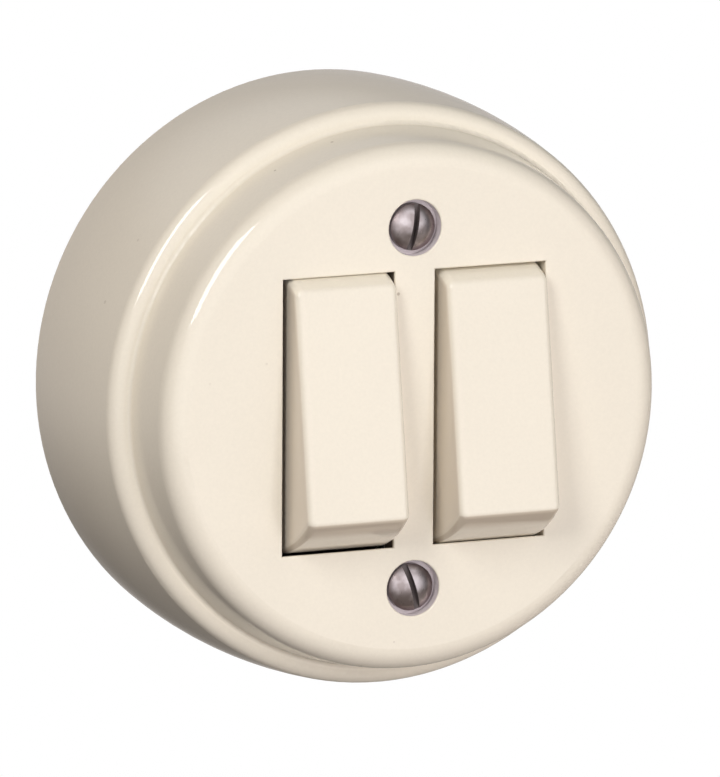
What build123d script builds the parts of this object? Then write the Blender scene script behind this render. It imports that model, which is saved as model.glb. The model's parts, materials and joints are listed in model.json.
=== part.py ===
"""Round surface-mounted light switch with two rockers, in millimetres.

Every piece is drawn lying on its back: X to the right, Y up the wall and Z out of the wall, with
the origin on the wall behind the middle of the switch. The last step stands the pieces up, so that
+Z is up and the front faces -Y. The rockers are drawn with their upper ends pressed in.
"""
import os
from math import cos, hypot, radians, sin, sqrt, tan

from build123d import *

# Cover: a drum with a raised front, moulded in one piece
cover_diameter = 70.9          # at the wall
wall_taper = 0.7               # how far the drum's wall leans in over its height
wall_bulge = 0.7               # how far the drum's wall swells past a straight line
drum_height = 22.7
shoulder_round = 1.8
ring_width = 2.2               # drum's corner to the foot of the raised front
foot_round = 0.5               # in the corner at the foot of the raised front
front_height = 31.4
front_taper = 8.5              # degrees
front_round = 2.8
cover_wall = 2.2
front_wall = 2.8

# Windows in the cover, one for each rocker
window_width = 14.2
window_height = 32.9
window_edge_round = 0.2        # also round the counterbores
rocker_pitch = 19.3            # middle of one rocker to middle of the other

# Screws with slotted pan heads
screw_diameter = 3.0
screw_head_diameter = 5.6
screw_head_height = 1.7
screw_head_edge = 0.8          # straight edge of the head under its dome
screw_slot_width = 0.7
screw_slot_depth = 1.0
screw_hole_diameter = 3.4
thread_gap = 0.05              # between a screw's shank and the hole it is driven into

# Cover screws
cover_screw_spacing = 43.2
cover_screw_length = 12.0
counterbore_diameter = 6.7
counterbore_depth = 1.6
cover_screw_leans = {1: -10.0, -1: 17.0}     # slot angles of the upper and the lower screw

# Rockers, measured from the pivot they turn on
rocker_tilt = 9.0              # degrees each way from level
pivot_behind_front = 6.2
face_above_pivot = 10.4
skirt_above_pivot = 0.4
rocker_end_gap = 0.3           # round ends, which turn about the pivot, to the window's ends
rocker_face_width = 12.9
rocker_side_draft = 1.5        # degrees
rocker_corner_round = 1.0
rocker_face_round = 0.9
rocker_wall = 1.5
rocker_face_wall = 2.0
rocker_offset = 0.15           # the left rocker sits this much high in its window, the right one low
rocker_shift = 0.2             # both rockers sit this much to the right in their windows
ear_radius = 3.0
ear_wall = 1.8
trunnion_diameter = 3.2
hub_diameter = 6.6
hub_below_pivot = 6.0
hub_bore_diameter = 4.2
spring_seat_above_pivot = 5.0
running_gap = 0.05             # round a piece that turns or slides in another

# Springs and plungers inside the hubs
plunger_top_below_pivot = 2.6
plunger_rest_gap = 0.05        # plunger's tip to the contact arm as it passes the middle
spring_wire = 0.4
spring_side_gap = 0.25
spring_turns = 6

# Base on the wall
base_thickness = 3.0
base_gap = 0.3                 # round the base inside the cover
base_rim_wall = 1.6
base_rim_height = 6.0
cable_hole_diameter = 18.0
fixing_spacing = 48.0
fixing_slot_width = 4.4
fixing_slot_length = 8.0
pillar_diameter = 5.4
insert_diameter = 4.2
insert_length = 8.0
yoke_screw_length = 10.0

# Mechanism body, hung from the pillars by its lugs
body_bottom = 8.0
body_floor = 2.0
chamber_side_gap = 0.35
chamber_end_gap = 0.6
chamber_corner_round = 2.0
body_side_wall = 1.5           # the rockers' right stub pins end flush with it
body_end_wall = 1.6
bearing_end_gap = 0.35         # past the end of each trunnion
yoke_above_pivot = 2.0
lug_drop = 2.6                 # body's top to the top of its lugs
lug_thickness = 2.0
lug_gap = 0.3                  # pillar to the body's side
lug_rise = 7.2                 # pillars above and below the middle
mechanism_gap = 0.3            # mechanism to the inside of the cover
stop_gap = 0.25                # under the pressed end of a rocker
stop_width = 2.2
stop_thickness = 4.0

# Yoke, a steel frame that closes the rockers' bearings, takes the cover screws and steps down to the lugs
yoke_thickness = 1.2
yoke_leg_gap = 0.1             # leg to the body's side
yoke_leg_length = 8.0
yoke_window_side_gap = 0.7
yoke_window_end_gap = 0.4
yoke_tab_width = 12.0
yoke_tab_margin = 4.4          # past the cover screw

# Contact arms, rocking on the common terminals
arm_length = 21.0
arm_width = 5.0
arm_corner_round = 1.5
arm_thickness = 0.8
arm_tilt = 5.0                 # degrees each way from level
arm_gap = 0.05                 # over the edge that the arm rocks on
arm_ear_length = 4.0
arm_ear_drop = 1.2
arm_ear_wall = 0.6
arm_ear_gap = 0.15
contact_reach = 9.0            # arm's middle to each of its contacts
contact_diameter = 3.2
contact_thickness = 0.8
contact_dome = 0.3
contact_rest_gap = 0.05
fulcrum_height = 2.4
fulcrum_width = 3.2

# Terminals
tongue_width = 4.4
tongue_thickness = 0.8
tongue_slot_gap = 0.3
block_width = 6.0
block_length = 6.0
block_height = 6.5
block_corner_round = 2.0
wire_hole_diameter = 3.2
trough_gap = 0.3
trough_wall = 0.9
trough_height = 6.0
terminal_screw_length = 4.6

# Sizes that follow from the ones above
sides = {"left": -1, "right": 1}
cover_radius = cover_diameter / 2
shoulder_radius = cover_radius - wall_taper
foot_radius = shoulder_radius - ring_width
front_step = front_height - drum_height
front_radius = foot_radius - front_step * tan(radians(front_taper))
cover_inside = front_height - front_wall
drum_inside = drum_height - cover_wall
counterbore_floor = front_height - counterbore_depth

pivot_height = front_height - pivot_behind_front
window_end_radius = hypot(window_height / 2, pivot_behind_front)
window_inner_height = 2 * sqrt(window_end_radius ** 2 - (pivot_behind_front - front_wall) ** 2)
rocker_end_radius = window_end_radius - rocker_end_gap
rocker_height = face_above_pivot - skirt_above_pivot
skirt_half_width = rocker_face_width / 2 + rocker_height * tan(radians(rocker_side_draft))
skirt_half_length = sqrt(rocker_end_radius ** 2 - skirt_above_pivot ** 2)
pressed_skirt = skirt_above_pivot * cos(radians(rocker_tilt)) - skirt_half_length * sin(radians(rocker_tilt))
trunnion_length = chamber_side_gap + body_side_wall - rocker_shift
trunnion_end = skirt_half_width + trunnion_length

chamber_width = 2 * (skirt_half_width + chamber_side_gap)
chamber_length = 2 * (rocker_end_radius + chamber_end_gap)
body_width = rocker_pitch + chamber_width + 2 * body_side_wall
body_length = chamber_length + 2 * body_end_wall
floor_height = body_bottom + body_floor
yoke_height = pivot_height + yoke_above_pivot
yoke_top = yoke_height + yoke_thickness
lug_top = yoke_height - lug_drop
pillar_top = lug_top - lug_thickness
ear_top = lug_top + yoke_thickness
lug_side = body_width / 2 + lug_gap + pillar_diameter / 2
stop_height = pivot_height + pressed_skirt - stop_gap

tongue_top = floor_height + tongue_thickness
fulcrum_top = tongue_top + fulcrum_height
arm_top = fulcrum_top + arm_gap + arm_thickness
plunger_reach = pivot_height - arm_top - plunger_rest_gap
contact_drop = contact_reach * sin(radians(arm_tilt))
moving_contact_drop = (contact_thickness - arm_gap) * cos(radians(arm_tilt))
fixed_contact_top = fulcrum_top - contact_drop - moving_contact_drop - contact_rest_gap
block_top = floor_height + block_height
trough_top = floor_height + trough_height
trough_half_width = block_width / 2 + trough_gap + trough_wall
end_reach = body_length / 2 + trough_gap
side_reach = (body_width - rocker_pitch) / 2 + trough_gap


def prism(outline, low, high):
    """A flat outline raised from one height above the wall to another."""
    return extrude(Pos(0, 0, low) * outline, high - low)


def dome_arc(radius, base, rise):
    """The section of a round dome, from its edge to its top on the Z axis."""
    dome_radius = (radius ** 2 + rise ** 2) / (2 * rise)
    return RadiusArc((radius, base), (0, base + rise), -dome_radius)


def repeated(outline, spots):
    """Copies of a flat outline at each of several spots, as one outline."""
    return Sketch() + [spot * outline for spot in spots]


def room_inside(height):
    """An outline that clears the inside of the cover at a height above the wall."""
    if height < drum_inside:
        share = height / drum_inside
        radius = cover_radius - wall_taper * share + 4 * wall_bulge * share * (1 - share)
    else:
        share = (height - drum_inside) / (cover_inside - drum_inside)
        radius = foot_radius - (foot_radius - front_radius) * share
    return Circle(radius - cover_wall - mechanism_gap)


def rocker_middle(side):
    """Where a rocker turns: the middle of its pivot, seen from the front."""
    return Pos(side * rocker_pitch / 2, -side * rocker_offset)


def rocker_place(side):
    """A rocker's own frame at rest: the origin on its pivot, the upper end pressed in."""
    return Pos(rocker_shift, 0, pivot_height) * rocker_middle(side) * Rot(-rocker_tilt, 0, 0)


def arm_place(side):
    """A contact arm's own frame at rest, tipped on the edge it rocks on."""
    return Pos(0, 0, fulcrum_top) * rocker_middle(side) * Rot(arm_tilt, 0, 0)


def lug_spots():
    """The four places where the mechanism is screwed to the pillars of the base."""
    return GridLocations(2 * lug_side, 2 * lug_rise, 2, 2)


def cover_screw_spots():
    """The two places of the cover screws."""
    return GridLocations(0, cover_screw_spacing, 1, 2)


def make_cover():
    outer = Polyline((shoulder_radius, drum_height), (foot_radius, drum_height), (front_radius, front_height),
                     (0, front_height))
    inner = Polyline((0, cover_inside), (front_radius - cover_wall, cover_inside),
                     (foot_radius - cover_wall, drum_inside), (shoulder_radius - cover_wall, drum_inside))
    drum = SagittaArc((cover_radius, 0), (shoulder_radius, drum_height), -wall_bulge)
    drum_inner = SagittaArc((shoulder_radius - cover_wall, drum_inside), (cover_radius - cover_wall, 0),
                            wall_bulge)
    rim = Line((cover_radius - cover_wall, 0), (cover_radius, 0))
    axis_line = Line((0, front_height), (0, cover_inside))
    section = make_face([drum, outer, axis_line, inner, drum_inner, rim])
    shoulder = section.vertices().sort_by_distance((shoulder_radius, drum_height))[0]
    section = fillet(shoulder, shoulder_round)
    foot = section.vertices().sort_by_distance((foot_radius, drum_height))[0]
    section = fillet(foot, foot_round)
    front_edge = section.vertices().sort_by_distance((front_radius, front_height))[0]
    section = fillet(front_edge, front_round)
    cover = revolve(Plane.XZ * section, Axis.Z)

    outline = make_face(Polyline((-window_height / 2, front_height), (window_height / 2, front_height),
                                 (window_inner_height / 2, cover_inside),
                                 (-window_inner_height / 2, cover_inside), close=True))
    window = extrude(Plane.YZ * outline, window_width / 2, both=True)
    for side in sides.values():
        cover -= Pos(side * rocker_pitch / 2, 0) * window
    for spot in cover_screw_spots():
        cover += spot * prism(Circle(counterbore_diameter / 2), yoke_top, cover_inside)
        cover -= spot * prism(Circle(counterbore_diameter / 2), counterbore_floor, front_height)
        cover -= spot * prism(Circle(screw_hole_diameter / 2), yoke_top, front_height)
    front = cover.faces().sort_by(Axis.Z)[-1]
    return fillet(front.edges() - front.outer_wire().edges(), window_edge_round)


def make_screw(length):
    """A slotted pan-head screw, with its seat on the origin and its shank going down."""
    head_radius = screw_head_diameter / 2
    dome = dome_arc(head_radius, screw_head_edge, screw_head_height - screw_head_edge)
    outline = Polyline((0, screw_head_height), (0, -length), (screw_diameter / 2, -length),
                       (screw_diameter / 2, 0), (head_radius, 0), (head_radius, screw_head_edge))
    screw = revolve(Plane.XZ * make_face([dome, outline]), Axis.Z)
    slot = prism(Rectangle(screw_slot_width, screw_head_diameter), screw_head_height - screw_slot_depth,
                 screw_head_height)
    return screw - slot


def make_cover_screws():
    screws = []
    for end, lean in cover_screw_leans.items():
        seat = Pos(0, end * cover_screw_spacing / 2, counterbore_floor)
        screws.append(seat * Rot(0, 0, lean) * make_screw(cover_screw_length))
    return screws


def make_base():
    radius = cover_radius - cover_wall - base_gap
    base = prism(Circle(radius), 0, base_thickness)
    base += prism(Circle(radius) - Circle(radius - base_rim_wall), base_thickness, base_rim_height)
    base += prism(repeated(Circle(pillar_diameter / 2), lug_spots()), base_thickness, pillar_top)
    insert_pocket = repeated(Circle(insert_diameter / 2 + thread_gap), lug_spots())
    base -= prism(insert_pocket, pillar_top - insert_length, pillar_top)
    screw_pocket = repeated(Circle(screw_hole_diameter / 2), lug_spots())
    base -= prism(screw_pocket, ear_top - yoke_screw_length - thread_gap, pillar_top)
    base -= prism(Circle(cable_hole_diameter / 2), 0, base_thickness)
    slot = SlotOverall(fixing_slot_length, fixing_slot_width)
    base -= prism(repeated(slot, GridLocations(fixing_spacing, 0, 2, 1)), 0, base_thickness)
    return base


def make_pillar_inserts():
    sleeve = Circle(insert_diameter / 2) - Circle(screw_diameter / 2 + thread_gap)
    return [spot * prism(sleeve, pillar_top - insert_length, pillar_top) for spot in lug_spots()]


def make_yoke_screws():
    return [spot * Pos(0, 0, ear_top) * make_screw(yoke_screw_length) for spot in lug_spots()]


def body_outline():
    """The mechanism body's outline, with corners cut back where the cover leaves no room."""
    return Rectangle(body_width, body_length) & room_inside(yoke_top)


def screwed_to_pillars(outline):
    """A flat outline with a hole for the screw at each pillar."""
    return outline - repeated(Circle(screw_hole_diameter / 2), lug_spots())


def lug_outline():
    """The mechanism body's outline with a rounded lug at each pillar."""
    outline = body_outline()
    for height in (-lug_rise, lug_rise):
        outline += Pos(0, height) * SlotOverall(2 * lug_side + pillar_diameter, pillar_diameter)
    return screwed_to_pillars(outline)


def make_yoke():
    """A frame on top of the body, with a leg at each side down to an ear that covers two lugs."""
    tab_length = cover_screw_spacing + 2 * yoke_tab_margin
    tabs = RectangleRounded(yoke_tab_width, tab_length, yoke_tab_margin)
    beside_body = Rectangle(body_width + 2 * yoke_leg_gap, body_length)
    to_legs = Rectangle(body_width + 2 * (yoke_leg_gap + yoke_thickness), yoke_leg_length)
    outline = body_outline() + to_legs + (tabs & room_inside(yoke_top))
    opening_width = 2 * (skirt_half_width + yoke_window_side_gap)
    opening_length = 2 * (rocker_end_radius + yoke_window_end_gap)
    opening = RectangleRounded(opening_width, opening_length, chamber_corner_round)
    for side in sides.values():
        outline -= Pos(side * rocker_pitch / 2, 0) * opening
    outline -= repeated(Circle(screw_diameter / 2 + thread_gap), cover_screw_spots())
    ear = Rot(0, 0, 90) * SlotOverall(2 * lug_rise + pillar_diameter, pillar_diameter)
    ears = repeated(ear, GridLocations(2 * lug_side, 0, 2, 1)) + Rectangle(2 * lug_side, yoke_leg_length)
    yoke = prism(outline, yoke_height, yoke_top)
    yoke += prism(to_legs - beside_body, lug_top, yoke_top)
    return yoke + prism(screwed_to_pillars(ears - beside_body), lug_top, ear_top)


def terminal_spots():
    """Each terminal's name, its own frame with Y pointing outwards, and how far out its block starts."""
    for name, side in sides.items():
        middle = Pos(side * rocker_pitch / 2, 0)
        yield f"upper_terminal_{name}", middle, end_reach
        yield f"lower_terminal_{name}", middle * Rot(0, 0, 180), end_reach
        yield f"common_terminal_{name}", middle * Rot(0, 0, -90 * side), side_reach


def tongue_outline(start, end, width):
    return Pos(0, (start + end) / 2) * Rectangle(width, end - start)


def make_mechanism_body():
    body = prism(body_outline(), body_bottom, yoke_height)
    body += prism(lug_outline(), pillar_top, lug_top)
    trough_end = block_length + trough_gap + trough_wall
    for _, place, reach in terminal_spots():
        start = reach - trough_gap
        trough = tongue_outline(start, reach + trough_end, 2 * trough_half_width)
        hollow = tongue_outline(start, reach + block_length + trough_gap, block_width + 2 * trough_gap)
        body += prism(place * trough & room_inside(trough_top), body_bottom, trough_top)
        body -= place * prism(hollow, floor_height, trough_top)
    for side in sides.values():
        middle = Pos(side * rocker_pitch / 2, 0)
        chamber = RectangleRounded(chamber_width, chamber_length, chamber_corner_round)
        body -= middle * prism(chamber, floor_height, yoke_height)
        bearing_radius = trunnion_diameter / 2 + running_gap
        mouth = Pos(0, yoke_above_pivot / 2) * Rectangle(2 * bearing_radius, yoke_above_pivot)
        bearing = Plane.YZ * (Circle(bearing_radius) + mouth)
        bearing = extrude(bearing, trunnion_end + bearing_end_gap, both=True)
        body -= Pos(0, 0, pivot_height) * rocker_middle(side) * bearing
        for end in (-1, 1):
            ledge = Pos(0, end * (chamber_length - stop_width) / 2) * Rectangle(chamber_width, stop_width)
            body += middle * prism(ledge, stop_height - stop_thickness, stop_height)
    for _, place, reach in terminal_spots():
        slot = tongue_outline(0, reach, tongue_width + 2 * tongue_slot_gap)
        body -= place * prism(slot, floor_height, tongue_top + tongue_slot_gap)
        wire_way = Plane.XZ * (Pos(0, floor_height + block_height / 2) * Circle(wire_hole_diameter / 2))
        body -= place * Pos(0, reach + block_length, 0) * extrude(wire_way, -2 * trough_end)
    body -= prism(repeated(Circle(screw_hole_diameter / 2), cover_screw_spots()), body_bottom, yoke_height)
    return body


def rocker_form(inset, top):
    """A block with round ends about the pivot and sides that lean in, inset from a rocker's outside."""
    low_half_width = skirt_half_width - inset
    top_half_width = low_half_width - (top - skirt_above_pivot) * tan(radians(rocker_side_draft))
    front = make_face(Polyline((-low_half_width, skirt_above_pivot), (low_half_width, skirt_above_pivot),
                               (top_half_width, top), (-top_half_width, top), close=True))
    round_ends = extrude(Plane.YZ * Circle(rocker_end_radius - inset), skirt_half_width, both=True)
    return round_ends & extrude(Plane.XZ * front, rocker_end_radius, both=True)


def make_rocker(side):
    """A hollow rocker with its spring hub, its ears and the stub pins that it turns on."""
    rocker = rocker_form(0, face_above_pivot)
    corners = rocker.edges() - rocker.faces().filter_by(Axis.Z).edges()
    rocker = fillet(corners, rocker_corner_round)
    rocker = fillet(rocker.faces().sort_by(Axis.Z)[-1].edges(), rocker_face_round)
    rocker -= rocker_form(rocker_wall, face_above_pivot - rocker_face_wall)
    rocker += prism(Circle(hub_diameter / 2), -hub_below_pivot, face_above_pivot - rocker_face_wall)
    rocker -= prism(Circle(hub_bore_diameter / 2), -hub_below_pivot, spring_seat_above_pivot)
    ear = Circle(ear_radius) + Pos(0, skirt_above_pivot / 2) * Rectangle(2 * ear_radius, skirt_above_pivot)
    for end in (-1, 1):
        ear_inside = Plane.YZ.offset(end * (skirt_half_width - ear_wall))
        rocker += extrude(ear_inside * ear, end * ear_wall)
        trunnion = Plane.YZ.offset(end * skirt_half_width) * Circle(trunnion_diameter / 2)
        rocker += extrude(trunnion, end * trunnion_length)
    return rocker_place(side) * rocker


def make_plunger(side):
    """A pin with a ball end that the spring pushes out of the hub on to the contact arm."""
    radius = hub_bore_diameter / 2 - running_gap
    tip = RadiusArc((radius, radius - plunger_reach), (0, -plunger_reach), radius)
    outline = Polyline((0, -plunger_reach), (0, -plunger_top_below_pivot), (radius, -plunger_top_below_pivot),
                       (radius, radius - plunger_reach))
    return rocker_place(side) * revolve(Plane.XZ * make_face([tip, outline]), Axis.Z)


def make_spring(side):
    """A compression spring between the hub's seat and the plunger."""
    length = spring_seat_above_pivot + plunger_top_below_pivot - spring_wire - 2 * running_gap
    radius = hub_bore_diameter / 2 - spring_side_gap - spring_wire / 2
    coil = Helix(length / spring_turns, length, radius)
    start = Plane(coil @ 0, z_dir=coil % 0)
    spring = sweep(start * Circle(spring_wire / 2), path=coil, is_frenet=True)
    foot = -plunger_top_below_pivot + spring_wire / 2 + running_gap
    return rocker_place(side) * Pos(0, 0, foot) * spring


def make_contact_arm(side):
    """A brass strip with ears that hold it on the edge it rocks on."""
    arm = prism(RectangleRounded(arm_width, arm_length, arm_corner_round), arm_gap, arm_gap + arm_thickness)
    ear_inside = tongue_width / 2 + arm_ear_gap
    for end in (-1, 1):
        ear = Pos(end * (ear_inside + arm_ear_wall / 2), 0) * Rectangle(arm_ear_wall, arm_ear_length)
        arm += prism(ear, -arm_ear_drop, arm_gap + arm_thickness)
    return arm_place(side) * arm


def make_contact(thickness):
    """A contact button that stands on its flat side, with a low dome on top."""
    radius = contact_diameter / 2
    dome = dome_arc(radius, thickness - contact_dome, contact_dome)
    outline = Polyline((0, thickness), (0, 0), (radius, 0), (radius, thickness - contact_dome))
    return revolve(Plane.XZ * make_face([dome, outline]), Axis.Z)


def make_moving_contacts(side):
    button = Pos(0, 0, arm_gap) * Rot(180, 0, 0) * make_contact(contact_thickness)
    return [arm_place(side) * Pos(0, end * contact_reach) * button for end in (-1, 1)]


def make_fixed_contacts():
    button = make_contact(fixed_contact_top - tongue_top)
    contacts = []
    for side in sides.values():
        for end in (-1, 1):
            contacts.append(Pos(0, end * contact_reach, tongue_top) * rocker_middle(side) * button)
    return contacts


def make_terminal(place, reach, is_common):
    """A brass block with a wire hole, and the tongue that carries it to the contacts."""
    start = -tongue_width / 2 if is_common else contact_reach - contact_diameter
    tongue = tongue_outline(start, reach + block_corner_round, tongue_width)
    terminal = prism(tongue, floor_height, tongue_top)
    block = Pos(0, reach + block_length / 2) * RectangleRounded(block_width, block_length, block_corner_round)
    terminal += prism(block, floor_height, block_top)
    wire_hole = Plane.XZ * (Pos(0, floor_height + block_height / 2) * Circle(wire_hole_diameter / 2))
    terminal -= Pos(0, reach, 0) * extrude(wire_hole, -block_length)
    screw_hole = Pos(0, reach + block_length / 2) * Circle(screw_diameter / 2 + thread_gap)
    terminal -= prism(screw_hole, block_top - terminal_screw_length - thread_gap, block_top)
    if is_common:
        ridge = make_face(Polyline((-fulcrum_width / 2, tongue_top), (fulcrum_width / 2, tongue_top),
                                   (0, fulcrum_top), close=True))
        terminal += extrude(Plane.XZ * ridge, tongue_width / 2, both=True)
    return place * terminal


def make_terminal_screws():
    screw = Pos(0, 0, block_top) * make_screw(terminal_screw_length)
    return [place * Pos(0, reach + block_length / 2) * screw for _, place, reach in terminal_spots()]


def make_pieces():
    """Every piece by name: one solid, or a list of like solids."""
    pieces = {
        "cover": make_cover(),
        "cover_screws": make_cover_screws(),
        "base": make_base(),
        "pillar_inserts": make_pillar_inserts(),
        "mechanism_body": make_mechanism_body(),
        "yoke": make_yoke(),
        "yoke_screws": make_yoke_screws(),
        "fixed_contacts": make_fixed_contacts(),
        "terminal_screws": make_terminal_screws(),
    }
    for name, place, reach in terminal_spots():
        pieces[name] = make_terminal(place, reach, name.startswith("common"))
    for name, side in sides.items():
        pieces[f"rocker_{name}"] = make_rocker(side)
        pieces[f"plunger_{name}"] = make_plunger(side)
        pieces[f"spring_{name}"] = make_spring(side)
        pieces[f"contact_arm_{name}"] = make_contact_arm(side)
        pieces[f"moving_contacts_{name}"] = make_moving_contacts(side)
    return pieces


stand_up = Rot(90, 0, 0)
os.makedirs("parts", exist_ok=True)
for node, piece in make_pieces().items():
    solids = piece if isinstance(piece, list) else [piece]
    standing = [stand_up * solid for solid in solids]
    export_step(standing[0] if len(standing) == 1 else Compound(children=standing), f"parts/{node}.step")
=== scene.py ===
"""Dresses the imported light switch: finishes for every piece, a studio stage and the photograph's camera."""
import json
from math import cos, pi, radians, sin

import bpy
from bpy.props import FloatProperty, FloatVectorProperty, PointerProperty
from mathutils import Matrix, Vector


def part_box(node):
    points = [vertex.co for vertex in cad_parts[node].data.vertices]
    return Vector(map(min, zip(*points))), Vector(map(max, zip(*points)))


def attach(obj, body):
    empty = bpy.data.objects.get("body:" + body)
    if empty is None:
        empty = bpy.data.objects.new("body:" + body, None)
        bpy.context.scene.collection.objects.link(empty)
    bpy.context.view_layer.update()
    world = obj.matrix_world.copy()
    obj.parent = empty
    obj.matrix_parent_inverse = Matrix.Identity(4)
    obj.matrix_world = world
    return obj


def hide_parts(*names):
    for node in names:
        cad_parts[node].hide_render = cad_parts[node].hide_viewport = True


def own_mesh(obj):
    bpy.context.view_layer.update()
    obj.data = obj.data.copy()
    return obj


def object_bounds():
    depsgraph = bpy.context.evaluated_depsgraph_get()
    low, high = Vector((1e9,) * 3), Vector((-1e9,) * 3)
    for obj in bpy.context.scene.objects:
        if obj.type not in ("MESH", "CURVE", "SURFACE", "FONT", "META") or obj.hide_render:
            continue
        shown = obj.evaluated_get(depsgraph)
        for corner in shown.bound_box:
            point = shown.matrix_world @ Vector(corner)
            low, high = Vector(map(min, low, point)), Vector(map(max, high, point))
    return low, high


bl_info = {
    "name": "Light Switch Dressing",
    "version": (1, 0, 0),
    "blender": (4, 5, 0),
    "location": "View3D > Sidebar > Light Switch",
    "description": "Finishes, lamps and camera for a round two-rocker light switch",
    "category": "Object",
}

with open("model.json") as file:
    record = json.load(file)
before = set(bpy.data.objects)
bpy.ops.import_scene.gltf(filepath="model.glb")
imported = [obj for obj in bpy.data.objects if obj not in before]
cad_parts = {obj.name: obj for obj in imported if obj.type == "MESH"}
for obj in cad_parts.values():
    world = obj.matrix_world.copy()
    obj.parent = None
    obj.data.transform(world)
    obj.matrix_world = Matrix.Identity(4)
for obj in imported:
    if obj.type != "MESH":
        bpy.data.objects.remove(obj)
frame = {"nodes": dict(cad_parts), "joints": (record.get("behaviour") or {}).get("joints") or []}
nodes = frame["nodes"]
cad_box = [list(corner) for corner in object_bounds()]

# Sizes of the cover and its screws that the finishes follow
front_depth = -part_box("cover")[0][1]
cover_screw_spacing = 0.0432
counterbore_diameter = 0.0067
screw_head_diameter = 0.0056
slot_floor_depth = 0.03055
edge_round = 0.0002
front_wall = 0.0028
windows_radius = 0.0245

# Specks of dust in the cover: where they are, how wide and how strong
specks = (
    ((-0.00788, -0.02478, 0.03125), 0.0005, 0.50),
    ((-0.01520, -0.02499, 0.02837), 0.0004, 0.55),
    ((-0.00213, -0.03140, 0.01388), 0.0005, 0.65),
    ((-0.00595, -0.02976, -0.03081), 0.0005, 0.35),
    ((-0.00244, -0.03140, -0.02786), 0.0003, 0.30),
    ((-0.02940, -0.01735, 0.01974), 0.0005, 0.23),
    ((-0.03322, -0.01652, 0.01245), 0.0006, 0.27),
    ((-0.02599, -0.03140, 0.00485), 0.0004, 0.12),
    ((-0.01884, -0.03140, 0.00671), 0.0004, 0.18),
)

# How far a rocker's surface faces down where the painted shade under its lip begins and ends, and how far
# it faces sideways where the painted shade of its sides begins; each painted shade fades between two values
lip_begins = (0.15, 0.45)
lip_ends = (0.76, 0.83)
side_begins = (0.86, 0.98)

# Darkening towards the edges of the cover screws' heads: where it begins, as a share of the radius, and its
# strength
rim_begins = 0.62
rim_strength = 0.8

# What faces forward less than this on a cover screw is a side of its slot
slot_side_facing = 0.5

# Unevenness of the ivory: its deepest shade, the shares of broad clouds and of fine grain in it,
# and the height of its orange peel
deep_ivory = 0.90
cloud_share = 0.3
grain_share = 0.6
peel_height = 0.000004

# Winding of the springs: the wire, its turns, and how many of them lie flat at each end
spring_wire = 0.0004
spring_turns = 6
flat_turns = 0.75
points_per_turn = 24

# Lamps: degrees to the left of the front, degrees up, distance from the switch, and width and height
lamp_places = {
    "key": (46, 32, 0.8, (0.22, 0.44)),
    "front": (-5, 0, 1.2, (1.0, 1.0)),
    "low": (-45, -40, 1.2, (1.0, 1.0)),
    "left": (95, 28, 1.2, (0.9, 0.9)),
    "right": (-40, 35, 1.2, (1.0, 1.0)),
    "back": (-150, -5, 1.2, (1.0, 1.0)),
    "far": (-135, -30, 1.2, (1.0, 1.0)),
}

# The room that gloss mirrors: where its parts shade into one another, as parts of a unit direction
room_rises = (-0.45, -0.15)
room_turns = (0.45, 0.85)
ceiling_begins = (0.30, 0.55)

# The photograph's frame, and the scale of the camera that was fitted to it
picture_height = 777
pixels_per_metre = 8340.0
sensor_height = 36.0

# The floor's rim and finish
floor_corners = 96
floor_roughness = 0.7

# Colour of the background and of the plain lamps
white = (1, 1, 1)

sides = ("left", "right")
rocker_nodes = [f"rocker_{side}" for side in sides]
plunger_nodes = [f"plunger_{side}" for side in sides]
inner_screw_nodes = ["yoke_screws", "terminal_screws"]
brass_nodes = ["pillar_inserts"] + [f"contact_arm_{side}" for side in sides]
brass_nodes += [f"{place}_terminal_{side}" for place in ("upper", "lower", "common") for side in sides]
contact_nodes = ["fixed_contacts"] + [f"moving_contacts_{side}" for side in sides]


def colour_property(name, description, colour):
    return FloatVectorProperty(name=name, description=description, subtype="COLOR", size=3, min=0, max=1,
                               default=colour)


def share_property(name, description, share):
    return FloatProperty(name=name, description=description, subtype="FACTOR", min=0, max=1, default=share)


def length_property(name, description, length, lowest=0):
    return FloatProperty(name=name, description=description, unit="LENGTH", min=lowest, default=length)


def angle_property(name, description, degrees):
    return FloatProperty(name=name, description=description, subtype="ANGLE", default=radians(degrees))


def level_property(name, description, level):
    return FloatProperty(name=name, description=description, min=0, default=level)


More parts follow.
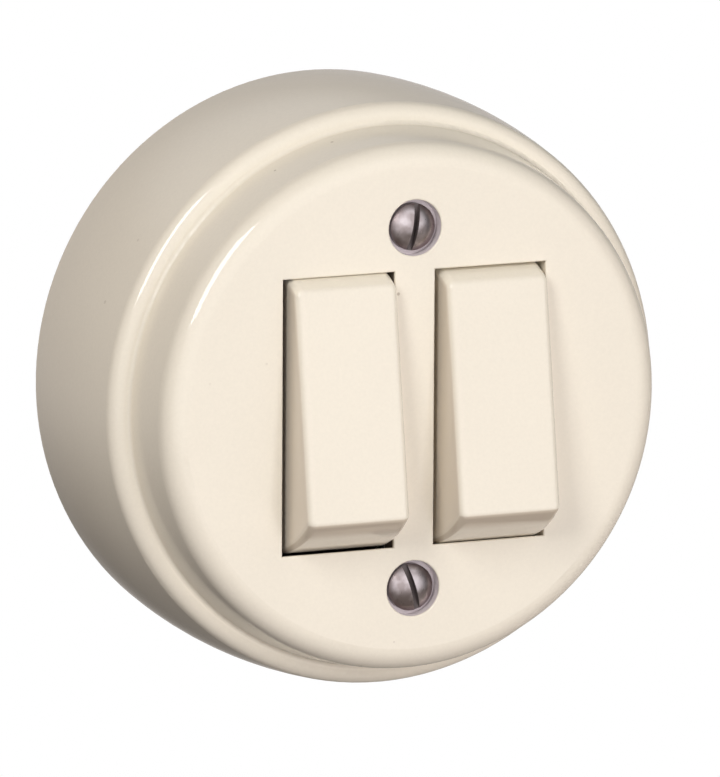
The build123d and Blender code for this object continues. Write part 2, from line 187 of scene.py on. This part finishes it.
class SwitchFinish(bpy.types.PropertyGroup):
    """Colours and finishes of the switch's pieces."""
    moulding: colour_property("Moulding", "Ivory of the cover and the rockers", (0.888, 0.818, 0.681))
    moulding_roughness: share_property("Moulding roughness", "Dullness of the ivory moulding", 0.08)
    # Painted shade and a painted reflection of the screw heads, greying the moulding inside the counterbores
    counterbore_painted_shade: colour_property("Counterbore", "Greyed moulding round the screws", (0.76, 0.68, 0.69))
    # Painted shade: the dark band under the rockers' lower lips
    lip: colour_property("Under the lip", "Moulding under the rockers' lower lips", (0.64, 0.55, 0.43))
    # Painted shade on the sides of the rockers, down in their windows
    rocker_side_painted_shade: colour_property("Rocker side", "Moulding at the sides of the rockers", (0.73, 0.65, 0.54))
    # Painted shade, not grime: darkens the cut walls of the left window, so that the gap beside its rocker
    # looks dark
    left_window_painted_shade: colour_property("Window edge", "Grime on the left window's cut edges", (0.16, 0.13, 0.10))
    speck: colour_property("Speck", "Dust pressed into the cover", (0.42, 0.33, 0.24))
    base: colour_property("Base", "Pale moulding of the back plate", (0.60, 0.55, 0.45))
    body: colour_property("Mechanism body", "Brown moulding of the mechanism", (0.045, 0.028, 0.020))
    plunger: colour_property("Plunger", "Natural plastic of the plungers", (0.70, 0.67, 0.60))
    screw: colour_property("Screw", "Dulled plating of the screws", (0.50, 0.42, 0.42))
    screw_worn: colour_property("Worn screw", "Bare steel where a driver has rubbed", (0.82, 0.73, 0.75))
    screw_roughness: share_property("Screw roughness", "Dullness of the screws' plating", 0.31)
    # A colour that darkens each cover screw's head towards its edge
    screw_rim: colour_property("Screw rim", "Tarnish round the cover screws' heads", (0.20, 0.155, 0.15))
    # A dark colour laid in the slots of the cover screws, where they also lose their metal
    slot: colour_property("Slot", "Dirt in the slots of the cover screws", (0.095, 0.075, 0.072))
    steel: colour_property("Steel", "Zinc plating of the yoke", (0.52, 0.53, 0.53))
    spring: colour_property("Spring", "Drawn wire of the springs", (0.40, 0.40, 0.41))
    brass: colour_property("Brass", "Terminals, contact arms and inserts", (0.68, 0.47, 0.18))
    contact: colour_property("Contact", "Silver of the contact buttons", (0.78, 0.76, 0.72))


class SwitchStage(bpy.types.PropertyGroup):
    """Floor, lamps, camera and the room that gloss mirrors."""
    floor: colour_property("Floor", "Pale floor under the switch", (0.80, 0.79, 0.77))
    floor_glow: level_property("Floor glow", "Brightness of the floor where no lamp reaches it", 0.45)
    floor_drop: length_property("Floor drop", "Floor below the lowest point of the switch", 0.060)
    floor_radius: length_property("Floor radius", "Where the floor has faded into the background", 0.200)
    camera_distance: length_property("Camera distance", "Camera to the middle of the picture", 1.4388)
    camera_azimuth: angle_property("Camera azimuth", "Camera round to the left of the front", 23.10)
    camera_elevation: angle_property("Camera elevation", "Camera above the switch", 11.17)
    camera_roll: angle_property("Camera roll", "Lean of the picture", 0.303)
    aim_right: length_property("Aim right", "Picture's middle, right of the switch's", 0.005909, lowest=-1)
    aim_up: length_property("Aim up", "Picture's middle, above the switch's", -0.003246, lowest=-1)
    key_level: level_property("Key level", "Lamp at the upper left; 1 lights a white card to white", 0.49)
    front_level: level_property("Front level", "Large soft lamp in front", 0.665)
    low_level: level_property("Low level", "Soft lamp below the front", 0.25)
    left_level: level_property("Left level", "Soft lamp on the left", 0.227)
    right_level: level_property("Right level", "Soft lamp at the upper right", 0.20)
    back_level: level_property("Back level", "Soft lamp behind the switch", 0.45)
    far_level: level_property("Far level", "Soft lamp below the far side and the back", 0.70)
    sky_level: level_property("Sky level", "Even light from all round", 0.015)
    front_light: colour_property("Front light", "Colour of the lamp in front", (0.98, 0.96, 1.0))
    warm_light: colour_property("Warm light", "Colour of the lamps on the left and below", (1.0, 0.865, 0.81))
    front_room: colour_property("Front of the room", "What gloss mirrors in front", (1.0, 1.0, 1.0))
    back_room: colour_property("Back of the room", "What gloss mirrors behind", (0.58, 0.54, 0.51))
    high_room: colour_property("Back ceiling", "What gloss mirrors above the back", (0.90, 0.88, 0.88))
    low_room: colour_property("Bottom of the room", "What gloss mirrors below", (0.20, 0.18, 0.16))
    side_room: colour_property("Sides of the room", "What gloss mirrors at the sides", (0.05, 0.05, 0.05))


class Wire:
    """A socket of a shader, so that maths on it is written as plain Python."""

    def __init__(self, tree, socket=None):
        self.tree = tree
        self.socket = socket

    def node(self, kind, settings=None, inputs=None, output=0):
        """Adds a node: its settings first, then the values or wires of its sockets."""
        made = self.tree.nodes.new(kind)
        for name, value in (settings or {}).items():
            setattr(made, name, value)
        for name, value in (inputs or {}).items():
            if isinstance(value, Wire):
                self.tree.links.new(value.socket, made.inputs[name])
            else:
                made.inputs[name].default_value = value
        return Wire(self.tree, made.outputs[output])

    def maths(self, operation, first, second=0.0):
        return self.node("ShaderNodeMath", {"operation": operation}, {0: first, 1: second})

    def __add__(self, other):
        return self.maths("ADD", self, other)

    def __sub__(self, other):
        return self.maths("SUBTRACT", self, other)

    def __rsub__(self, other):
        return self.maths("SUBTRACT", other, self)

    def __mul__(self, other):
        return self.maths("MULTIPLY", self, other)

    def __lt__(self, other):
        return self.maths("LESS_THAN", self, other)

    def __gt__(self, other):
        return self.maths("GREATER_THAN", self, other)

    __radd__ = __add__
    __rmul__ = __mul__


def rgba(colour):
    return colour if isinstance(colour, Wire) else (*colour, 1)


def colour_mix(share, first, second):
    """One colour shading into another, by a share that is a wire."""
    # A node that mixes takes colours at sockets 6 and 7 and gives one at output 2
    return share.node("ShaderNodeMix", {"data_type": "RGBA"}, {0: share, 6: rgba(first), 7: rgba(second)}, 2)


def darker(colour, share):
    return tuple(channel * share for channel in colour)


def new_material(name):
    """A new material, its tree as a wire to start from, and its surface shader."""
    material = bpy.data.materials.new(name)
    material.use_nodes = True
    tree = material.node_tree
    return material, Wire(tree), tree.nodes["Principled BSDF"]


def feed(shader, **sockets):
    """Sets or links sockets of a shader, given with underscores for spaces."""
    for name, value in sockets.items():
        target = shader.inputs[name.replace("_", " ").title()]
        if isinstance(value, Wire):
            value.tree.links.new(value.socket, target)
        else:
            target.default_value = value


def object_place(start):
    return start.node("ShaderNodeTexCoord", output="Object")


def object_normal(start):
    return start.node("ShaderNodeTexCoord", output="Normal")


def split(vector):
    """The three parts of a vector."""
    return [vector.node("ShaderNodeSeparateXYZ", None, {"Vector": vector}, axis) for axis in "XYZ"]


def noise(start, place, scale, detail=3.0, roughness=0.5):
    return start.node("ShaderNodeTexNoise", None,
                      {"Vector": place, "Scale": scale, "Detail": detail, "Roughness": roughness})


def scratches(start, place, scale, squeeze):
    """Fine scratches: a noise that is squeezed along one axis."""
    squeezed = start.node("ShaderNodeMapping", None, {"Vector": place, "Scale": squeeze})
    return noise(start, squeezed, scale, detail=2.0)


def fade(value, low, high, kind="SMOOTHSTEP"):
    """Rises from 0 to 1 as a wire goes from one value to another."""
    return value.node("ShaderNodeMapRange", {"interpolation_type": kind},
                      {"Value": value, "From Min": low, "From Max": high})


def uneven(middle, pattern, spread):
    """A value that a pattern from 0 to 1 spreads evenly to both sides."""
    return pattern * spread + (middle - spread / 2)


def bump(start, height, distance):
    return start.node("ShaderNodeBump", None, {"Height": height, "Distance": distance, "Strength": 1.0})


def from_screw(start):
    """Distance from the middle line of the nearer cover screw."""
    across, _, height = split(object_place(start))
    along = start.maths("ABSOLUTE", height) - cover_screw_spacing / 2
    return start.maths("SQRT", across * across + along * along)


def painted_shade_in_counterbores(start):
    """Where the cover is inside the counterbores of its screws, which take painted shade and a painted
    reflection of the heads.
    """
    depth = split(object_place(start))[1]
    return (from_screw(start) < counterbore_diameter / 2 + edge_round) * (depth > edge_round - front_depth)


def painted_shade_in_left_window(start):
    """Where the cover is cut through by its left window, behind the rounded edges: the cut walls that take
    painted shade.
    """
    across, depth, height = split(object_place(start))
    near = (across * across + height * height < windows_radius ** 2) * (across < 0.0)
    return near * (depth > 2 * edge_round - front_depth) * (depth < front_wall - edge_round - front_depth)


def painted_shade_under_lip(start):
    """Painted shade under the lower lip of a rocker, down to where its end mirrors the cover."""
    down = -1.0 * split(object_normal(start))[2]
    return fade(down, *lip_begins) * (1.0 - fade(down, *lip_ends))


# Painted shade on a rocker's sides: where its surface faces sideways
def painted_shade_on_rocker_sides(start):
    return fade(start.maths("ABSOLUTE", split(object_normal(start))[0]), *side_begins)


def on_speck(start, spot, width, strength):
    """Where one speck is: full inside half its width, and gone at its edge."""
    reach = start.node("ShaderNodeVectorMath", {"operation": "DISTANCE"},
                       {0: object_place(start), 1: spot}, "Value")
    return (1.0 - fade(reach, width / 4, width / 2)) * strength


def on_specks(start):
    """Where dust is pressed into the cover."""
    return sum(on_speck(start, *speck) for speck in specks)


def ivory_moulding(name, finish, painted_shade_and_dust):
    """Glossy ivory moulding: faint clouds and grain, a little orange peel, and painted shade and dust specks
    laid over parts of it.
    """
    material, start, shader = new_material(name)
    place = object_place(start)
    clouds = noise(start, place, scale=55.0)
    peel = noise(start, place, scale=900.0, detail=1.0)
    smudges = noise(start, place, scale=130.0, detail=4.0, roughness=0.6)
    grain = noise(start, place, scale=2600.0, detail=2.0)
    tint = colour_mix(clouds * cloud_share + grain * grain_share, finish.moulding,
                      darker(finish.moulding, deep_ivory))
    # Each colour laid on here is painted shade, except the dust specks of the cover
    for where, shade in painted_shade_and_dust:
        tint = colour_mix(where(start), tint, shade)
    feed(shader,
         base_color=tint,
         roughness=uneven(finish.moulding_roughness, smudges, spread=0.08),
         normal=bump(start, peel, peel_height))
    return material


def plain_moulding(name, colour, roughness, grain_height):
    """A duller moulding: a fine grain in its gloss and surface, and clouds in its colour."""
    material, start, shader = new_material(name)
    place = object_place(start)
    clouds = noise(start, place, scale=70.0, detail=4.0)
    grain = noise(start, place, scale=1500.0, detail=2.0)
    feed(shader,
         base_color=colour_mix(clouds, colour, darker(colour, share=0.82)),
         roughness=uneven(roughness, grain, spread=0.16),
         normal=bump(start, grain, grain_height))
    return material


def plated_metal(name, colour, roughness, tarnish=0.7):
    """Plated or bare metal: blotches of tarnish and fine scratches."""
    material, start, shader = new_material(name)
    place = object_place(start)
    blotches = noise(start, place, scale=420.0, detail=5.0, roughness=0.62)
    lines = scratches(start, place, scale=700.0, squeeze=(1.0, 1.0, 14.0))
    feed(shader,
         base_color=colour_mix(blotches, colour, darker(colour, tarnish)),
         metallic=1.0,
         roughness=uneven(roughness, lines, spread=0.2),
         normal=bump(start, lines, distance=0.000006))
    return material


def in_slot(start):
    """Where a cover screw is in its slot: the slot's floor, and sides that stand along the screw."""
    floor = split(object_place(start))[1] > -slot_floor_depth
    along = start.maths("ABSOLUTE", split(object_normal(start))[1])
    return start.maths("MAXIMUM", floor, along < slot_side_facing)


def head_rim(start):
    """Where a cover screw's head nears its edge."""
    radius = screw_head_diameter / 2
    return fade(from_screw(start), radius * rim_begins, radius) * rim_strength


def screw_metal(name, finish, rim=None, darkened_slots=None):
    """Dulled plating, rubbed bright in patches by a screwdriver, with a rim darker towards its edge and dark,
    dull slots if given.
    """
    material, start, shader = new_material(name)
    place = object_place(start)
    blotches = noise(start, place, scale=620.0, detail=2.0)
    rubbed = fade(blotches, low=0.40, high=0.62, kind="LINEAR")
    lines = scratches(start, place, scale=1300.0, squeeze=(9.0, 1.0, 1.0))
    tint = colour_mix(rubbed, finish.screw, finish.screw_worn)
    bare = 1.0
    if rim:
        tint = colour_mix(rim(start), tint, finish.screw_rim)
    # The slots are coloured dark and made not metal
    if darkened_slots:
        tint = colour_mix(darkened_slots(start), tint, finish.slot)
        bare = 1.0 - darkened_slots(start)
    feed(shader,
         base_color=tint,
         metallic=bare,
         roughness=uneven(finish.screw_roughness, lines, spread=0.2),
         normal=bump(start, lines, distance=0.000003))
    return material


def dress(names, material):
    """Gives CAD pieces a finish."""
    for name in names:
        nodes[name].material_slots[0].material = material


class SWITCH_OT_dress_mouldings(bpy.types.Operator):
    """Ivory finish for the cover and the rockers"""
    bl_idname = "light_switch.dress_mouldings"
    bl_label = "Dress Cover and Rockers"

    def execute(self, context):
        finish = context.scene.switch_finish
        cover_painted_shade_and_dust = [(painted_shade_in_left_window, finish.left_window_painted_shade), (painted_shade_in_counterbores, finish.counterbore_painted_shade),
                        (on_specks, finish.speck)]
        rocker_painted_shade = [(painted_shade_under_lip, finish.lip), (painted_shade_on_rocker_sides, finish.rocker_side_painted_shade)]
        dress(["cover"], ivory_moulding("cover_moulding", finish, cover_painted_shade_and_dust))
        dress(rocker_nodes, ivory_moulding("rocker_moulding", finish, rocker_painted_shade))
        return {"FINISHED"}


class SWITCH_OT_dress_screws(bpy.types.Operator):
    """Dulled plating for every screw"""
    bl_idname = "light_switch.dress_screws"
    bl_label = "Dress Screws"

    def execute(self, context):
        finish = context.scene.switch_finish
        dress(["cover_screws"], screw_metal("cover_screw_metal", finish, head_rim, in_slot))
        dress(inner_screw_nodes, screw_metal("screw_metal", finish))
        return {"FINISHED"}


class SWITCH_OT_dress_base(bpy.types.Operator):
    """Matt moulding for the back plate"""
    bl_idname = "light_switch.dress_base"
    bl_label = "Dress Base"

    def execute(self, context):
        finish = context.scene.switch_finish
        dress(["base"], plain_moulding("base_moulding", finish.base, roughness=0.5, grain_height=0.00001))
        return {"FINISHED"}


class SWITCH_OT_dress_mechanism(bpy.types.Operator):
    """Mouldings of the mechanism: its body and the plungers"""
    bl_idname = "light_switch.dress_mechanism"
    bl_label = "Dress Mechanism"

    def execute(self, context):
        finish = context.scene.switch_finish
        body = plain_moulding("body_moulding", finish.body, roughness=0.42, grain_height=0.000008)
        plastic = plain_moulding("plunger_plastic", finish.plunger, roughness=0.4, grain_height=0.000004)
        dress(["mechanism_body"], body)
        dress(plunger_nodes, plastic)
        return {"FINISHED"}


def coil(middle, axis, foot, head, radius):
    """The mesh of a wire wound round an axis from its foot to its head, with its end turns flat."""
    across = Vector((1, 0, 0))
    upward = axis.cross(across)
    curve = bpy.data.curves.new("coil", "CURVE")
    curve.dimensions = "3D"
    curve.bevel_depth = spring_wire / 2
    curve.use_fill_caps = True
    spline = curve.splines.new("POLY")
    spline.points.add(spring_turns * points_per_turn)
    for index, point in enumerate(spline.points):
        turn = index / points_per_turn
        rise = min(max((turn - flat_turns) / (spring_turns - 2 * flat_turns), 0), 1)
        along = foot + spring_wire / 2 + rise * (head - foot - spring_wire)
        out = across * cos(2 * pi * turn) + upward * sin(2 * pi * turn)
        point.co = (*(middle + axis * along + out * radius), 1)
    winding = bpy.data.objects.new("coil", curve)
    mesh = bpy.data.meshes.new_from_object(winding)
    bpy.data.objects.remove(winding)
    bpy.data.curves.remove(curve)
    return mesh


def wind_spring(side, material):
    """A coil that fills the place of a plain spring and rides its rocker."""
    joints = {joint["name"]: joint for joint in frame["joints"]}
    slide = joints[f"{side}_plunger_slide"]
    axis = Vector(slide["axis"])
    plain = nodes[f"spring_{side}"]
    low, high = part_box(plain.name)
    middle = Vector(joints[f"{side}_rocker_tilt"]["pos_m"])
    middle.x = (low[0] + high[0]) / 2
    reach = [(plain.matrix_world @ vertex.co - middle).dot(axis) for vertex in plain.data.vertices]
    foot, head = min(reach), max(reach)
    mesh = coil(middle, axis, foot, head, (high[0] - low[0] - spring_wire) / 2)
    mesh.shade_smooth()
    mesh.materials.append(material)
    spring = bpy.data.objects.new(f"wound_spring_{side}", mesh)
    bpy.context.collection.objects.link(spring)
    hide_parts(plain.name)
    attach(spring, f"{side}_rocker")
    shortest = 1 - slide["range_m"][1] / (head - foot)
    tuple(middle + axis * head)
    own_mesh(spring)


class SWITCH_OT_wind_springs(bpy.types.Operator):
    """Coiled springs in place of the plain ones"""
    bl_idname = "light_switch.wind_springs"
    bl_label = "Wind Springs"

    def execute(self, context):
        wire = plated_metal("spring_wire", context.scene.switch_finish.spring, roughness=0.3)
        for side in sides:
            wind_spring(side, wire)
        return {"FINISHED"}


class SWITCH_OT_dress_metalwork(bpy.types.Operator):
    """Metals of the mechanism: yoke, brass and contacts"""
    bl_idname = "light_switch.dress_metalwork"
    bl_label = "Dress Metalwork"

    def execute(self, context):
        finish = context.scene.switch_finish
        dress(["yoke"], plated_metal("zinc_plating", finish.steel, roughness=0.38))
        dress(brass_nodes, plated_metal("brass", finish.brass, roughness=0.32, tarnish=0.6))
        dress(contact_nodes, plated_metal("contact_silver", finish.contact, roughness=0.26))
        return {"FINISHED"}


def direction(azimuth, elevation):
    """Unit vector towards a place round the switch: azimuth from the front, to the left."""
    return Vector((-sin(azimuth) * cos(elevation), -cos(azimuth) * cos(elevation), sin(elevation)))


def add_lamp(name, azimuth, elevation, distance, size, level, colour, glints):
    """A soft lamp that faces the switch. At level 1 it lights a white card to white."""
    lamp = bpy.data.lights.new(name, "AREA")
    lamp.shape = "RECTANGLE"
    lamp.size, lamp.size_y = size
    lamp.energy = level * (pi * distance) ** 2
    lamp.color = colour
    holder = bpy.data.objects.new(name, lamp)
    towards = direction(radians(azimuth), radians(elevation))
    holder.location = towards * distance
    holder.rotation_euler = towards.to_track_quat("Z", "Y").to_euler()
    holder.visible_camera = False
    holder.visible_glossy = glints
    bpy.context.collection.objects.link(holder)


def add_lamps(stage):
    """All the lamps. Only the key lamp shows as glints in gloss."""
    tints = {"front": stage.front_light, "low": stage.warm_light, "left": stage.warm_light}
    for name, place in lamp_places.items():
        level = getattr(stage, f"{name}_level")
        add_lamp(f"{name}_lamp", *place, level, colour=tints.get(name, white), glints=name == "key")


def add_camera(stage):
    """The photograph's camera: where it stands, how it leans and the middle of its picture."""
    back = direction(stage.camera_azimuth, stage.camera_elevation)
    right = Vector((cos(stage.camera_azimuth), -sin(stage.camera_azimuth), 0))
    up = back.cross(right)
    camera = bpy.data.cameras.new("camera")
    camera.sensor_fit = "VERTICAL"
    camera.sensor_height = sensor_height
    camera.lens = pixels_per_metre * stage.camera_distance * sensor_height / picture_height
    holder = bpy.data.objects.new("camera", camera)
    turn = Matrix((right, up, back)).transposed() @ Matrix.Rotation(stage.camera_roll, 3, "Z")
    aim = right * stage.aim_right + up * stage.aim_up
    holder.matrix_world = Matrix.Translation(aim + back * stage.camera_distance) @ turn.to_4x4()
    bpy.context.collection.objects.link(holder)
    bpy.context.scene.camera = holder


def floor_material(stage):
    """Pale and faintly glowing, fading out over the outer half of the floor."""
    material, start, shader = new_material("floor")
    colour = rgba(stage.floor)
    feed(shader, base_color=colour, roughness=floor_roughness, emission_color=colour,
         emission_strength=stage.floor_glow)
    reach = start.node("ShaderNodeVectorMath", {"operation": "LENGTH"}, {0: object_place(start)}, "Value")
    outward = fade(reach, stage.floor_radius / 2, stage.floor_radius)
    solid = Wire(start.tree, shader.outputs[0])
    clear = start.node("ShaderNodeBsdfTransparent")
    surface = start.node("ShaderNodeMixShader", None, {0: outward, 1: solid, 2: clear})
    feed(start.tree.nodes["Material Output"], surface=surface)
    return material


def add_floor(stage):
    """A pale disc, low enough to stay out of the photograph's view."""
    height = cad_box[0][2] - stage.floor_drop
    bpy.ops.mesh.primitive_circle_add(vertices=floor_corners, radius=stage.floor_radius, fill_type="NGON",
                                      location=(0, 0, height))
    floor = bpy.context.object
    floor.name = "floor"
    floor.data.materials.append(floor_material(stage))
    floor.visible_diffuse = False
    floor.visible_glossy = False
    floor.visible_shadow = False


def set_world(stage):
    """White behind the switch, an even light all round, and a room for gloss to mirror."""
    world = bpy.data.worlds.new("studio")
    world.use_nodes = True
    bpy.context.scene.world = world
    start = Wire(world.node_tree)
    _, depth, height = split(start.node("ShaderNodeTexCoord", output="Generated"))
    front = colour_mix(fade(-1.0 * depth, *room_turns), stage.side_room, stage.front_room)
    back = colour_mix(fade(height, *ceiling_begins), stage.back_room, stage.high_room)
    around = colour_mix(fade(depth, *room_turns), front, back)
    mirrored = colour_mix(fade(height, *room_rises), stage.low_room, around)
    camera_ray, glossy_ray, clear_ray = (start.node("ShaderNodeLightPath", output=f"Is {kind} Ray")
                                         for kind in ("Camera", "Glossy", "Transmission"))
    even = (stage.sky_level,) * 3
    lit = colour_mix(glossy_ray + clear_ray, even, mirrored)
    feed(world.node_tree.nodes["Background"], color=colour_mix(camera_ray, lit, white))


class SWITCH_OT_set_stage(bpy.types.Operator):
    """Floor, lamps, background and the photograph's camera"""
    bl_idname = "light_switch.set_stage"
    bl_label = "Set Stage"

    def execute(self, context):
        stage = context.scene.switch_stage
        add_floor(stage)
        add_lamps(stage)
        set_world(stage)
        add_camera(stage)
        context.scene.view_settings.view_transform = "Standard"
        return {"FINISHED"}


operators = (
    SWITCH_OT_dress_mouldings,
    SWITCH_OT_dress_screws,
    SWITCH_OT_dress_base,
    SWITCH_OT_dress_mechanism,
    SWITCH_OT_wind_springs,
    SWITCH_OT_dress_metalwork,
    SWITCH_OT_set_stage,
)


class SWITCH_PT_panel(bpy.types.Panel):
    """Lists the steps that dress the switch, and the values they use"""
    bl_idname = "SWITCH_PT_panel"
    bl_label = "Light Switch"
    bl_space_type = "VIEW_3D"
    bl_region_type = "UI"
    bl_category = "Light Switch"

    def draw(self, context):
        for operator in operators:
            self.layout.operator(operator.bl_idname)
        for group in (context.scene.switch_finish, context.scene.switch_stage):
            for name in group.__annotations__:
                self.layout.prop(group, name)


classes = (SwitchFinish, SwitchStage, *operators, SWITCH_PT_panel)


def register():
    for each in classes:
        bpy.utils.register_class(each)
    bpy.types.Scene.switch_finish = PointerProperty(type=SwitchFinish)
    bpy.types.Scene.switch_stage = PointerProperty(type=SwitchStage)


def unregister():
    del bpy.types.Scene.switch_stage
    del bpy.types.Scene.switch_finish
    for each in reversed(classes):
        bpy.utils.unregister_class(each)


def main():
    register()
    bpy.ops.light_switch.dress_mouldings()
    bpy.ops.light_switch.dress_screws()
    bpy.ops.light_switch.dress_base()
    bpy.ops.light_switch.dress_mechanism()
    bpy.ops.light_switch.wind_springs()
    bpy.ops.light_switch.dress_metalwork()
    bpy.ops.light_switch.set_stage()


if __name__ == "__main__":
    main()
